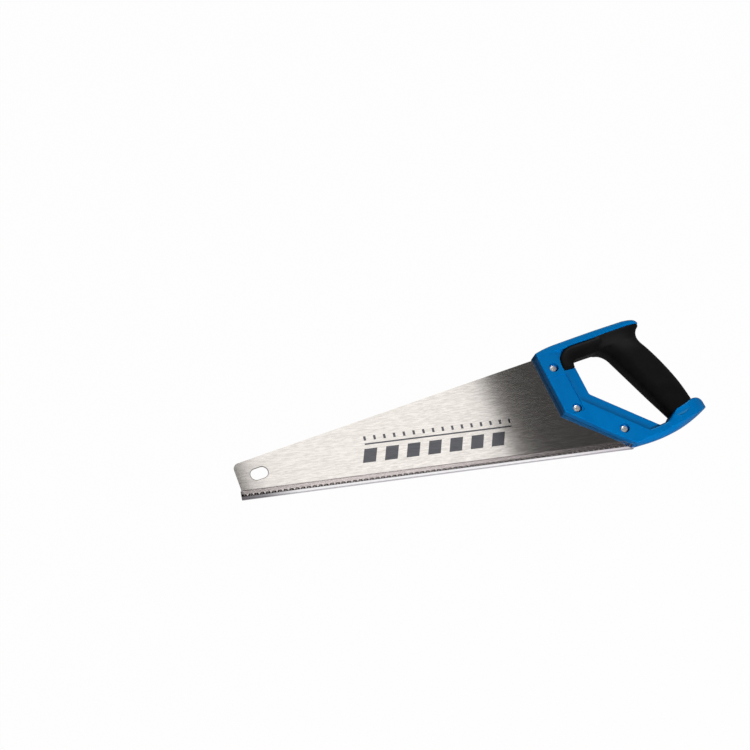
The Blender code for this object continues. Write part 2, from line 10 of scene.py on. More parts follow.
import bmesh
import bpy
from mathutils import Matrix, Quaternion, Vector


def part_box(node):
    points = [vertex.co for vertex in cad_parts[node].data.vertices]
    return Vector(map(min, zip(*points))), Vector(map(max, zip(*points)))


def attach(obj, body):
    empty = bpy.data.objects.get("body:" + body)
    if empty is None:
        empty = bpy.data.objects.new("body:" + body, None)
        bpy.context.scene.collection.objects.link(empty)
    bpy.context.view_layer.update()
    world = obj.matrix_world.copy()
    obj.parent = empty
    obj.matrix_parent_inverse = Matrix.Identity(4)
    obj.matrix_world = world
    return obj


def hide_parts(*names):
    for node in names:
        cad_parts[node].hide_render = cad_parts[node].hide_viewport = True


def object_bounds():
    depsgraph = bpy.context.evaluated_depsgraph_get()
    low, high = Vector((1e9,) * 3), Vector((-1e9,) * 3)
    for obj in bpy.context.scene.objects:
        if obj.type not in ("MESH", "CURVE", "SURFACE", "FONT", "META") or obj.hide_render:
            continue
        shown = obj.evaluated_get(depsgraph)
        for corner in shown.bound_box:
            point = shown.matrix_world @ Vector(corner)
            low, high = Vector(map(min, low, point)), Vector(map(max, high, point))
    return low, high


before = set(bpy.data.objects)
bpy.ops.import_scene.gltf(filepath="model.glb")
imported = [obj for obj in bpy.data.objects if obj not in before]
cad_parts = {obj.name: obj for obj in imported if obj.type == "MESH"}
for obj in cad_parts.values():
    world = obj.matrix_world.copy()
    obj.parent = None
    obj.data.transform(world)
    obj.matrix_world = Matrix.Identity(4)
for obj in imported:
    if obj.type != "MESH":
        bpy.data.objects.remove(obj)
CAD_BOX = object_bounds()

# Handle axes
SPINE_ANGLE = math.radians(12.54)
UPPER_SCREW = Vector((0.0116, -0.0166))

# Handle plate
FRONT_EDGE = 0.0640
MITRE_LENGTH = 0.0788
MITRE_ANGLE = math.radians(45)
BAR_WIDTH = 0.0350
STRIP_WIDTH = 0.0316
PLATE_THICKNESS = 0.0160
RIM_THICKNESS = 0.0090
BAR_PLATEAU = 0.0205
STRIP_PLATEAU = 0.0192
STRIP_LEAN = math.tan(math.radians(4.0))
STRIP_LEAN_START = (0.0140, 0.0260)
STRIP_LEAN_END = (0.0780, 0.0620)
PLATEAU_BEND = 0.0050
HOLE_BEND = 0.0015
COVE_POWER = 2.4
PLATE_ROOT = 0.0031
EDGE_ROUND = 0.0010
TANG_DEPTH = 0.0180
SCREW_INSET = 0.01025
MIDDLE_SCREW_ALONG = 0.0103
LOWER_SCREW_ALONG = 0.0623

# Top rail
RAIL_LENGTH = 0.1250
RAIL_FRONT_RISE = 0.0036
RAIL_RISE = 0.0061
RAIL_RISE_LENGTH = 0.0240
RAIL_SWELL_LENGTH = 0.0794
RAIL_DROP = 0.0012
RAIL_FRONT_THICKNESS = 0.0160
RAIL_THICKNESS = 0.0212
RAIL_NOSE = 0.0100
RAIL_BEND_START = 0.1030
RAIL_BEND_RADIUS = 0.0450
RAIL_SETBACK = 0.0003

# Lower arm and tail
ARM_DEPTH = 0.0124
ARM_THICKNESS = 0.0158
ARM_BELLY = 0.0029
ARM_BELLY_FROM_HEEL = 0.0260
ARM_SWEEP_RADIUS = 0.1750
ARM_RIDGE = 0.0045
ARM_HEEL_RIDGE = 0.0015
ARM_TAIL_RIDGE = 0.0012
ARM_RIDGE_RISE = (0.0, 0.0160)
ARM_RIDGE_FALL = (0.0450, 0.0880)
ARM_CORNER = 0.0030
TAIL_CORNER = 0.0018
TAIL_REACH = 0.0930
TAIL_DEPTH = 0.0182
TAIL_THICKNESS = 0.0250
TAIL_NOSE = 0.0205
TAIL_RISE = (0.0420, 0.0575)

# Soft grip
GRIP_THICKNESS = 0.0282
GRIP_TOP_THICKNESS = 0.0214
GRIP_END_THICKNESS = 0.0236
GRIP_SWELL_DEPTH = 0.0320
GRIP_TAPER_DEPTH = 0.0700
GRIP_LEAN = math.radians(21.0)
HOLE_TOP = 0.0155
HOLE_WIDTH = 0.0380
HOLE_ARCH_RADIUS = 0.0115
HOLE_CORNER_RADIUS = 0.0065
THROAT_FROM_FRONT = 0.1151
THROAT_DEPTH = 0.0175
THROAT_RADIUS = 0.0155
BACK_LEAN = math.radians(24.5)
BACK_RADIUS = 0.2000
LEG_LEFT = 0.0207
LEG_LENGTH = 0.0233
LEG_CROWN = Vector((0.0404, -0.0006))
LEG_ARC_HEIGHT = 0.0176
LEG_THICKNESS = 0.0218
LEG_FRONT_THICKNESS = 0.0166
LEG_ROUND = 0.0085
LEG_HOLE_LEVEL = 0.0048
LEG_PILLOW = 0.0045
SEAM = 0.0002
GRIP_START = 0.001

# Sunk panel of the bar and scoop of the tail
PANEL_TOP = 0.0256
PANEL_ARCH = 0.0040
PANEL_RIM = 0.0021
PANEL_BOTTOM = 0.0690
PANEL_DEPTH = 0.0009
SCOOP_PLACE = (0.1129, -0.1056, 0.0132)
SCOOP_SIZE = (0.0150, 0.0046, 0.0020)
SCOOP_TURN = math.radians(5.0)

# Screws and barrel nuts
HEAD_DIAMETER = 0.0076
HEAD_HEIGHT = 0.0018
HEAD_DOME = 0.0011
SHANK_DIAMETER = 0.0034
RECESS_LENGTH = 0.0050
RECESS_WIDTH = 0.0014
RECESS_DEPTH = 0.0013
COUNTERBORE_DIAMETER = 0.0100
COUNTERBORE_DEPTH = 0.0042
HEAD_LIFT = 0.0003
SHANK_LENGTH = 0.0036

# Blade finish: hardened band, plain print, and painted shade as a dark rim round the hanging slot
HARD_BAND = 0.0060
HARD_BAND_EDGE = 0.0008
HARD_BAND_TINT = (0.88, 0.85, 0.87)
HARD_BAND_ROUGHNESS = 0.10
PRINT_START = 0.1300
PRINT_LEVEL = 0.0360
PRINT_LENGTH = 0.1520
PRINT_SLANT = math.tan(math.radians(18.0))
PRINT_TINT = (0.14, 0.15, 0.175)
BAR_LEVELS = (-0.0180, -0.0040)
BAR_PITCH = 0.0220
BAR_BREADTH = 0.0130
RULE_LEVELS = (0.0, 0.0016)
TICK_LEVELS = (0.0045, 0.0090)
TICK_PITCH = 0.0100
TICK_BREADTH = 0.0024
SLOT_CENTRE = Vector((-0.3129, -0.0163))
SLOT_HALF_LENGTH = 0.0087
SLOT_HALF_WIDTH = 0.00565
# width and tint of the painted shade round the hanging slot
SLOT_LINE = 0.0006
SLOT_PAINTED_SHADE = (0.35, 0.34, 0.33)

# Tooth guard
GUARD_WALL = 0.0008
GUARD_LIP = 0.0058
GUARD_DROP = 0.0034
GUARD_ROOM = 0.0010
GUARD_CLEARANCE = 0.0003
GUARD_MITRE_GAP = 0.0006
BLADE_THICKNESS = 0.0009
SLOT_CLEARANCE = 0.0003

# Fineness of the meshes
RING_POINTS = 72
LOFT_STEPS = 40
NOSE_STEPS = 16
ARCH_STEPS = 14
BEND_STEPS = 6
TURN_STEPS = 48
DOME_STEPS = 10
LEG_STEPS = 10
NOSE_TURN = math.radians(86)
RAIL_FRONT_POWER = 12.0
RAIL_NOSE_POWER = 3.4
GRIP_POWER = 2.8
VOXEL = 0.0006
MOULDING_RELAX = 2
GRIP_RELAX = 8
MERGE_DISTANCE = 1e-6
SMOOTH_ANGLE = math.radians(40)

# Camera and light
CAMERA_PLACE = (-0.5379, -0.5500, 1.3990)
CAMERA_TURN = (25.45, -12.55, -12.60)
CAMERA_LENS = 76.8
CAMERA_SENSOR = 36.0
FLOOR_SIZE = 12.0
FLOOR_GAP = 0.0002
FLOOR_TONE = (0.25, 0.25, 0.25, 1)
FLOOR_WHITE = 0.985
FLOOR_MIRRORED = 0.05
WALLS = 0.30
AMBIENT = 0.04
CEILING = 0.064
CEILING_DIRECTION = (0.41, 0.34, 0.85)
CEILING_SPREAD = (math.radians(12.0), math.radians(30.0))
MIRROR_PLACE = (0.3445, 0.634, 1.514)
MIRROR_SIZE = (0.545, 0.800)
MIRROR_TURN = math.radians(8.0)
MIRROR_POWER = 1.73
KEY_PLACE = (0.14, -0.77, 0.95)
KEY_TARGET = (0.12, 0.0)
KEY_SIZE = (0.55, 0.55)
KEY_POWER = 15.4
BACK_PLACE = (0.68, 1.60, 1.27)
BACK_TARGET = (0.15, 0.03)
BACK_SIZE = (0.60, 0.50)
BACK_POWER = 11.0


def middle(node):
    low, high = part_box(node)
    return (low + high) / 2


def find_handle_axes():
    """Matrix from the handle's axes to the frame, found from the upper screw and the blade."""
    turn = Matrix.Rotation(SPINE_ANGLE, 4, "Z")
    place = middle("upper_screw") - turn @ UPPER_SCREW.to_3d()
    place.z = middle("blade").z
    return Matrix.Translation(place) @ turn


HANDLE_AXES = find_handle_axes()


def ease(value, start, end):
    """Smooth rise from 0 at start to 1 at end."""
    share = min(max((value - start) / (end - start), 0.0), 1.0)
    return share * share * (3 - 2 * share)


def spread(start, end, steps):
    return [start + (end - start) * i / steps for i in range(steps + 1)]


def arc(centre, radius_x, radius_y, start, end, steps):
    """Points of an elliptical arc, angles in degrees."""
    turns = [math.radians(turn) for turn in spread(start, end, steps)]
    return [(centre[0] + radius_x * math.cos(t), centre[1] + radius_y * math.sin(t)) for t in turns]


def mitre_point(along, inset):
    """Point at a distance along the 45 degree edge from its upper corner, and in from that edge."""
    across = math.sin(MITRE_ANGLE)
    down = math.cos(MITRE_ANGLE)
    return Vector((across * along + down * inset, -FRONT_EDGE - down * along + across * inset))


def bar_corner(width):
    """Inner corner of a strip of that width along the 90 and 45 degree edges."""
    return Vector((width, -FRONT_EDGE + width * math.tan(MITRE_ANGLE / 2)))


def inner_corner(bar, strip):
    """Where lines at those distances from the 90 and 45 degree edges meet."""
    drop = (bar * math.cos(MITRE_ANGLE) - strip) / math.sin(MITRE_ANGLE)
    return Vector((bar, -FRONT_EDGE - drop))


def bend(before, corner, after, size):
    """Soft corner between two straight runs: points of a curve of that size on each side."""
    start = corner + (before - corner).normalized() * size
    end = corner + (after - corner).normalized() * size
    return [start.lerp(corner, t).lerp(corner.lerp(end, t), t) for t in spread(0, 1, BEND_STEPS)]


def extrude_end(shape, end):
    """Extrude an end face where it is, open the way behind it, and return the new end."""
    made = bmesh.ops.extrude_face_region(shape, geom=[end])["geom"]
    if len(end.edges[0].link_faces) > 2:
        shape.faces.remove(end)
    return next(item for item in made if isinstance(item, bmesh.types.BMFace))


def mirrored(half):
    """Ring from its outer half, which runs from the top to the bottom."""
    return half + [(a, -b) for a, b in reversed(half[1:-1])]


def oval(power):
    """Unit ring between an ellipse and a box, boxier with a higher power."""
    turns = spread(0, math.pi, RING_POINTS // 2)
    return mirrored([
        tuple(math.copysign(abs(part) ** (2 / power), part) for part in (math.cos(t), math.sin(t)))
        for t in turns
    ])


def ridged(ridge, corner_a, corner_b):
    """Unit ring with a flat side, a soft upper corner and a keel below a sharp ridge."""
    half = [(1.0, (1 - corner_b) * i / 4) for i in range(4)]
    half += arc((1 - corner_a, 1 - corner_b), corner_a, corner_b, 0, 90, 8)
    half += [(1 - corner_a + (ridge - 1 + corner_a) * i / 8, 1.0) for i in range(1, 8)]
    keel = spread(1, 0, RING_POINTS // 2 - len(half))
    return mirrored(half + [(-1 + (ridge + 1) * s * s, s) for s in keel])


def sweep(stations):
    """Bar drawn out of a disc: each station has its middle, its two half axes and its unit ring."""
    shape = bmesh.new()
    bmesh.ops.create_circle(shape, cap_ends=True, segments=RING_POINTS, radius=1)
    end = next(iter(shape.faces))
    order = [round(math.atan2(vert.co.y, vert.co.x) / math.tau * RING_POINTS) for vert in end.verts]
    for i, (centre, across, out, ring) in enumerate(stations):
        if i:
            end = extrude_end(shape, end)
        for vert, place in zip(end.verts, order):
            vert.co = centre + across * ring[place][0] + out * ring[place][1]
    return shape


def stack(layers):
    """Solid drawn up through outlines of equal point counts, each with its height."""
    shape = bmesh.new()
    outline, height = layers[0]
    end = shape.faces.new([shape.verts.new((x, y, height)) for x, y in outline])
    for outline, height in layers[1:]:
        end = extrude_end(shape, end)
        for vert, (x, y) in zip(end.verts, outline):
            vert.co = (x, y, height)
    return shape


def make_object(name, shape):
    bmesh.ops.recalc_face_normals(shape, faces=shape.faces)
    mesh = bpy.data.meshes.new(name)
    shape.to_mesh(mesh)
    shape.free()
    thing = bpy.data.objects.new(name, mesh)
    bpy.context.scene.collection.objects.link(thing)
    return thing


def settle(thing):
    """Put the result of a piece's modifiers into its mesh."""
    view = bpy.context.evaluated_depsgraph_get()
    mesh = bpy.data.meshes.new_from_object(thing.evaluated_get(view))
    thing.modifiers.clear()
    thing.data = mesh
    return thing


def combine(base, others, operation):
    """Join shapes to a piece, or cut them out of it."""
    for name, shape in others.items():
        other = make_object(name, shape)
        step = base.modifiers.new(name, "BOOLEAN")
        step.object = other
        step.operation = operation
        step.solver = "EXACT"
        settle(base)
        bpy.data.objects.remove(other)
    return base


def blend_creases(thing, rounds):
    """Melt the joined forms of a moulding into one skin that follows them, with soft creases."""
    form = bpy.data.objects.new("form", thing.data.copy())
    bpy.context.scene.collection.objects.link(form)
    skin = thing.modifiers.new("skin", "REMESH")
    skin.mode = "VOXEL"
    skin.voxel_size = VOXEL
    follow = thing.modifiers.new("follow", "SHRINKWRAP")
    follow.target = form
    relax = thing.modifiers.new("relax", "SMOOTH")
    relax.factor = 0.5
    relax.iterations = rounds
    settle(thing)
    bpy.data.objects.remove(form)
    return thing


def hand_in(thing, material, body, slot, *nodes):
    """Shade a piece, give it its material and set it on its body in place of its solids."""
    thing.data.materials.clear()
    thing.data.materials.append(material)
    thing.data.shade_smooth()
    thing.data.set_sharp_from_angle(angle=SMOOTH_ANGLE)
    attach(thing, body)
    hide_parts(*nodes)


def rounded_stations(start, end, length):
    """Places along a bar with a rounded end, each with the share of its full size there."""
    stations = [(place, 1.0) for place in spread(start, end - length, LOFT_STEPS)[:-1]]
    for turn in spread(0, NOSE_TURN, NOSE_STEPS):
        stations.append((end - length + length * math.sin(turn), math.cos(turn)))
    return stations


def plate_outline(inset, slope):
    """Outline of the plate: slope 1 draws its inner side back from the hand hole to the plateau."""
    bar = BAR_WIDTH + (BAR_PLATEAU - BAR_WIDTH) * slope
    strip = STRIP_WIDTH + (STRIP_PLATEAU - STRIP_WIDTH) * slope
    arm_line = mitre_point(MITRE_LENGTH, 0).y - ARM_BELLY + ARM_DEPTH - PLATE_ROOT
    inner_along = (mitre_point(0, strip).y - arm_line) / math.cos(MITRE_ANGLE)
    inner_end = mitre_point(inner_along, strip)
    inner_top = Vector((bar, -RAIL_SETBACK))
    soft = HOLE_BEND + (PLATEAU_BEND - HOLE_BEND) * slope
    return [
        Vector((inset, -RAIL_SETBACK)),
        bar_corner(inset),
        mitre_point(MITRE_LENGTH - inset, inset),
        mitre_point(MITRE_LENGTH + ARM_DEPTH / 2, ARM_DEPTH),
        inner_end,
        *bend(inner_end, inner_corner(bar, strip), inner_top, soft),
        inner_top,
    ]


def plate_form():
    """Plate with rounded marking edges and a hollow slope down to the hand hole."""
    half = PLATE_THICKNESS / 2
    rim = RIM_THICKNESS / 2
    side = [(height, 0.0) for height in spread(rim, half - EDGE_ROUND, 6)[:-1]]
    for turn in spread(0, math.pi / 2, 4):
        side.append((half - EDGE_ROUND * (1 - math.sin(turn)), EDGE_ROUND * (1 - math.cos(turn))))
    layers = []
    for height, inset in side:
        slope = ((height - rim) / (half - rim)) ** (1 / COVE_POWER)
        layers.append((plate_outline(inset, slope), height))
    return stack([(outline, -height) for outline, height in reversed(layers)] + layers)


def lean_strip(moulding):
    """Let the plateau of the strip fall away towards its marking edge."""
    corner = bar_corner(0)
    edge = (mitre_point(MITRE_LENGTH, 0) - corner).normalized()
    inward = (mitre_point(0, BAR_PLATEAU) - mitre_point(0, 0)).normalized()
    for vert in moulding.data.vertices:
        place = vert.co.to_2d() - corner
        share = ease(vert.co.x, *STRIP_LEAN_START) * ease(place.dot(edge), *STRIP_LEAN_END)
        fall = STRIP_LEAN * max(STRIP_PLATEAU - max(place.dot(inward), 0), 0) * share
        vert.co.z *= 1 - fall / (PLATE_THICKNESS / 2)


def rail_form(grow):
    """Top rail: bar over the spine that rises from its front and ends in a rounded nose."""
    stations = []
    for x, shrink in rounded_stations(RAIL_SETBACK - grow, RAIL_LENGTH + grow, RAIL_NOSE):
        short = max(1 - x / RAIL_RISE_LENGTH, 0)
        droop = max(x - RAIL_BEND_START, 0) ** 2 / (2 * RAIL_BEND_RADIUS)
        rise = RAIL_RISE - (RAIL_RISE - RAIL_FRONT_RISE) * short * short - droop
        swell = ease(x, 0, RAIL_SWELL_LENGTH)
        thickness = RAIL_FRONT_THICKNESS + (RAIL_THICKNESS - RAIL_FRONT_THICKNESS) * swell
        half_height = (rise + RAIL_DROP) / 2 * shrink
        centre = Vector((x, half_height - RAIL_DROP, 0))
        across = Vector((0, half_height + grow, 0))
        out = Vector((0, 0, thickness / 2 * shrink + grow))
        power = RAIL_FRONT_POWER + (RAIL_NOSE_POWER - RAIL_FRONT_POWER) * ease(x, 0, RAIL_LENGTH)
        stations.append((centre, across, out, oval(power)))
    return sweep(stations)


def arm_form(grow):
    """Lower arm sweeping from the heel to the tail behind the grip."""
    heel = mitre_point(MITRE_LENGTH, 0)
    stations = []
    for along, shrink in rounded_stations(EDGE_ROUND - grow, TAIL_REACH + grow, TAIL_NOSE):
        offset = along - ARM_BELLY_FROM_HEEL
        bottom = heel.y - ARM_BELLY + ARM_SWEEP_RADIUS - math.sqrt(ARM_SWEEP_RADIUS**2 - offset**2)
        rise = ease(along, *TAIL_RISE)
        half_depth = (ARM_DEPTH + (TAIL_DEPTH - ARM_DEPTH) * rise) / 2 * shrink
        half_thickness = (ARM_THICKNESS + (TAIL_THICKNESS - ARM_THICKNESS) * rise) / 2 * shrink
        centre = Vector((heel.x + along, bottom + half_depth, 0))
        ridge = ARM_HEEL_RIDGE + (ARM_RIDGE - ARM_HEEL_RIDGE) * ease(along, *ARM_RIDGE_RISE)
        ridge += (ARM_TAIL_RIDGE - ARM_RIDGE) * ease(along, *ARM_RIDGE_FALL)
        corner = (ARM_CORNER + (TAIL_CORNER - ARM_CORNER) * rise) * shrink
        ring = ridged(ridge * shrink / half_depth - 1, corner / half_depth, corner / half_thickness)
        across = Vector((0, half_depth + grow, 0))
        out = Vector((0, 0, half_thickness + grow))
        stations.append((centre, across, out, ring))
    return sweep(stations)


def grip_front(depth):
    """Front of the grip at a depth below the spine, with the arch at the top of the hand hole."""
    line = BAR_WIDTH + HOLE_WIDTH + (depth - HOLE_TOP) * math.tan(GRIP_LEAN)
    short = min(max(HOLE_TOP + HOLE_ARCH_RADIUS - depth, 0), HOLE_ARCH_RADIUS)
    return line - HOLE_ARCH_RADIUS + math.sqrt(HOLE_ARCH_RADIUS**2 - short**2)


def grip_back(depth):
    """Back of the grip: a throat for the web of the thumb above a long swell."""
    meet = THROAT_DEPTH + THROAT_RADIUS * math.sin(BACK_LEAN)
    offset = max(min(depth, meet) - THROAT_DEPTH, -THROAT_RADIUS)
    throat = THROAT_FROM_FRONT + THROAT_RADIUS - math.sqrt(THROAT_RADIUS**2 - offset**2)
    run = max(depth - meet, 0)
    swell = run * math.tan(BACK_LEAN) - run * run / (2 * BACK_RADIUS)
    return min(throat, RAIL_LENGTH - EDGE_ROUND) + swell


def grip_end():
    """Depth below the spine at which the grip ends, in the middle of the tail."""
    return -mitre_point(MITRE_LENGTH, 0).y - TAIL_DEPTH / 2


def grip_form():
    """Oval grip, drawn from inside the rail to inside the tail."""
    turns = spread(0, math.pi / 2, ARCH_STEPS)
    arch = [HOLE_TOP + HOLE_ARCH_RADIUS * (1 - math.cos(t)) for t in turns]
    depths = spread(GRIP_START, HOLE_TOP, ARCH_STEPS)[:-1] + arch[:-1]
    depths += spread(arch[-1], grip_end(), LOFT_STEPS)
    stations = []
    for depth in depths:
        front = grip_front(depth)
        back = grip_back(depth)
        swell = ease(depth, 0, GRIP_SWELL_DEPTH)
        taper = ease(depth, GRIP_TAPER_DEPTH, grip_end())
        thickness = GRIP_TOP_THICKNESS + (GRIP_THICKNESS - GRIP_TOP_THICKNESS) * swell
        thickness += (GRIP_END_THICKNESS - GRIP_THICKNESS) * taper
        centre = Vector(((front + back) / 2, -depth, 0))
        across = Vector(((back - front) / 2, 0, 0))
        stations.append((centre, across, Vector((0, 0, thickness / 2)), oval(GRIP_POWER)))
    return sweep(stations)


def leg_outline(grow, inset):
    """Outline of the rubber in front of and above the hand hole; inset draws back its hole side."""
    shoulder = (LEG_CROWN.x, LEG_CROWN.y - LEG_ARC_HEIGHT)
    left = arc(shoulder, LEG_CROWN.x - LEG_LEFT + grow, LEG_ARC_HEIGHT + grow, 180, 90, ARCH_STEPS)
    right = BAR_WIDTH + HOLE_WIDTH
    bottom = -LEG_LENGTH - grow
    centre = (BAR_WIDTH + HOLE_CORNER_RADIUS, -HOLE_TOP - HOLE_CORNER_RADIUS)
    radius = HOLE_CORNER_RADIUS + inset
    corner = arc(centre, radius, radius, 90, 180, ARCH_STEPS)
    top = [(right, grow - RAIL_DROP), (right, inset - HOLE_TOP)]
    return [(LEG_LEFT - grow, bottom)] + left + top + corner + [(BAR_WIDTH - inset, bottom)]


def leg_form():
    """Rubber beside the hand hole: rounded towards the fingers, and a pillow above the plate."""
    top = LEG_THICKNESS / 2
    plateau = PLATE_THICKNESS / 2
    layers = []
    for turn in spread(0, math.pi / 2, LEG_STEPS):
        height = LEG_HOLE_LEVEL + (top - LEG_HOLE_LEVEL) * math.sin(turn)
        rise = max(height - plateau, 0) / (top - plateau)
        draw = LEG_PILLOW * (1 - math.sqrt(max(1 - rise * rise, 0)))
        layers.append((leg_outline(-draw, LEG_ROUND * (1 - math.cos(turn))), height))
    shape = stack([(outline, -height) for outline, height in reversed(layers)] + layers)
    for vert in shape.verts:
        along = (vert.co.x - LEG_LEFT) / (BAR_WIDTH + HOLE_WIDTH - LEG_LEFT)
        thickness = LEG_FRONT_THICKNESS + (LEG_THICKNESS - LEG_FRONT_THICKNESS) * along
        vert.co.z *= thickness / LEG_THICKNESS
    return shape


def leg_prism(grow):
    """Straight block of the leg's outline, open to the hand hole."""
    outline = leg_outline(grow, -HOLE_CORNER_RADIUS / 2)
    return stack([(outline, -GRIP_THICKNESS), (outline, GRIP_THICKNESS)])


def slot_form():
    """Slot that the blade sits in, open at the front and at the 45 degree edge."""
    depth = TANG_DEPTH + SLOT_CLEARANCE
    heel = MITRE_LENGTH - BLADE_THICKNESS
    outline = [
        (-PLATE_THICKNESS, SLOT_CLEARANCE),
        (depth, SLOT_CLEARANCE),
        bar_corner(depth),
        mitre_point(heel, depth),
        mitre_point(heel, -PLATE_THICKNESS),
        bar_corner(-PLATE_THICKNESS),
    ]
    half = BLADE_THICKNESS / 2 + SLOT_CLEARANCE
    return stack([(outline, -half), (outline, half)])


def counterbore_form(place, side):
    """Counterbore of a screw head on one face."""
    shape = bmesh.new()
    radius = COUNTERBORE_DIAMETER / 2
    bmesh.ops.create_cone(
        shape, cap_ends=True, segments=TURN_STEPS,
        radius1=radius, radius2=radius, depth=COUNTERBORE_DEPTH * 2,
    )
    bmesh.ops.translate(shape, verts=shape.verts, vec=(*place, side * PLATE_THICKNESS / 2))
    return shape


def screw_places():
    return {
        "upper": UPPER_SCREW,
        "middle": mitre_point(MIDDLE_SCREW_ALONG, SCREW_INSET),
        "lower": mitre_point(LOWER_SCREW_ALONG, SCREW_INSET),
    }


def panel_form(side):
    """Shallow sunk panel on the bar, with an arched upper end."""
    floor = side * (PLATE_THICKNESS / 2 - PANEL_DEPTH)
    half = (BAR_PLATEAU - PANEL_RIM) / 2
    arch = arc((PANEL_RIM + half, -PANEL_TOP - PANEL_ARCH), half, PANEL_ARCH, 180, 0, ARCH_STEPS)
    along = (mitre_point(0, PANEL_RIM).y + PANEL_BOTTOM) / math.cos(MITRE_ANGLE)
    outline = arch + [(BAR_PLATEAU, -PANEL_BOTTOM)]
    outline += [mitre_point(along, PANEL_RIM), bar_corner(PANEL_RIM)]
    return stack([(outline, floor), (outline, side * PLATE_THICKNESS)])


def scoop_form(side):
    """Shallow scoop in the tail below the end of the grip."""
    shape = bmesh.new()
    bmesh.ops.create_uvsphere(shape, u_segments=TURN_STEPS, v_segments=TURN_STEPS // 2, radius=1)
    bmesh.ops.scale(shape, verts=shape.verts, vec=SCOOP_SIZE)
    bmesh.ops.rotate(shape, verts=shape.verts, matrix=Matrix.Rotation(SCOOP_TURN, 3, "Z"))
    x, y, z = SCOOP_PLACE
    bmesh.ops.translate(shape, verts=shape.verts, vec=(x, y, side * z))
    return shape


def build_moulding(material):
    """Blue moulding: plate, rail and arm melted into one skin, cut for rubber, blade and screws."""
    moulding = make_object("handle_moulding", plate_form())
    combine(moulding, {"rail": rail_form(0), "arm": arm_form(0)}, "UNION")
    blend_creases(moulding, MOULDING_RELAX)
    lean_strip(moulding)
    cuts = {"pocket": leg_prism(SEAM), "slot": slot_form()}
    for side, face in ((1, "front"), (-1, "back")):
        cuts["panel_" + face] = panel_form(side)
        cuts["scoop_" + face] = scoop_form(side)
        for name, place in screw_places().items():
            cuts[name + "_" + face] = counterbore_form(place, side)
    combine(moulding, cuts, "DIFFERENCE")
    moulding.data.transform(HANDLE_AXES)
    hand_in(moulding, material, "saw", "blue_plastic", "handle_frame")


def build_grip(material):
    """Black rubber: grip and leg melted into one skin and cut back from the rail and the tail."""
    grip = make_object("grip_rubber", grip_form())
    combine(grip, {"leg": leg_form()}, "UNION")
    blend_creases(grip, GRIP_RELAX)
    rail = make_object("rail", rail_form(SEAM))
    combine(rail, {"leg": leg_prism(0)}, "DIFFERENCE")
    seat = bmesh.new()
    seat.from_mesh(rail.data)
    bpy.data.objects.remove(rail)
    combine(grip, {"rail": seat, "arm": arm_form(SEAM)}, "DIFFERENCE")
    grip.data.transform(HANDLE_AXES)
    hand_in(grip, material, "saw", "black_rubber", "grip_sleeve")


def turned(profile):
    """Solid of revolution about Z from a profile that starts and ends on the axis."""
    shape = bmesh.new()
    verts = [shape.verts.new((radius, 0, height)) for radius, height in profile]
    edges = [shape.edges.new(pair) for pair in zip(verts, verts[1:])]
    bmesh.ops.spin(
        shape, geom=verts + edges, cent=(0, 0, 0), axis=(0, 0, 1), angle=math.tau,
        steps=TURN_STEPS, use_merge=True,
    )
    bmesh.ops.remove_doubles(shape, verts=shape.verts, dist=MERGE_DISTANCE)
    return shape


def head_profile():
    """Domed head on a short shank, from the top of the dome down."""
    radius = HEAD_DIAMETER / 2
    shank = SHANK_DIAMETER / 2
    under = PLATE_THICKNESS / 2 - COUNTERBORE_DEPTH + HEAD_LIFT
    side = under + HEAD_HEIGHT - HEAD_DOME
    end = under - SHANK_LENGTH
    turns = spread(0, math.pi / 2, DOME_STEPS)
    dome = [(radius * math.sin(t), side + HEAD_DOME * math.cos(t)) for t in turns]
    return dome + [(radius, under), (shank, under), (shank, end), (0, end)]


def cross_recess(top):
    """Two crossing grooves in a screw head."""
    grooves = {}
    sizes = {"long": (RECESS_LENGTH, RECESS_WIDTH), "wide": (RECESS_WIDTH, RECESS_LENGTH)}
    for name, size in sizes.items():
        groove = bmesh.new()
        bmesh.ops.create_cube(groove, size=1)
        bmesh.ops.scale(groove, verts=groove.verts, vec=(*size, RECESS_DEPTH * 2))
        bmesh.ops.translate(groove, verts=groove.verts, vec=(0, 0, top))
        grooves[name] = groove
    return grooves


def build_screws(material):
    """Screws on the upper face, and the heads of their barrel nuts on the lower face."""
    top = PLATE_THICKNESS / 2 - COUNTERBORE_DEPTH + HEAD_LIFT + HEAD_HEIGHT
    for name, place in screw_places().items():
        screw = make_object(name + "_binding_screw", turned(head_profile()))
        combine(screw, cross_recess(top), "DIFFERENCE")
        seat = HANDLE_AXES @ Matrix.Translation(place.to_3d())
        screw.data.transform(seat)
        hand_in(screw, material, "saw", "screw_steel", name + "_screw")
        nut = make_object(name + "_nut_head", turned(head_profile()))
        nut.data.transform(seat @ Matrix.Rotation(math.pi, 4, "X"))
        hand_in(nut, material, "saw", "screw_steel", name + "_barrel_nut")


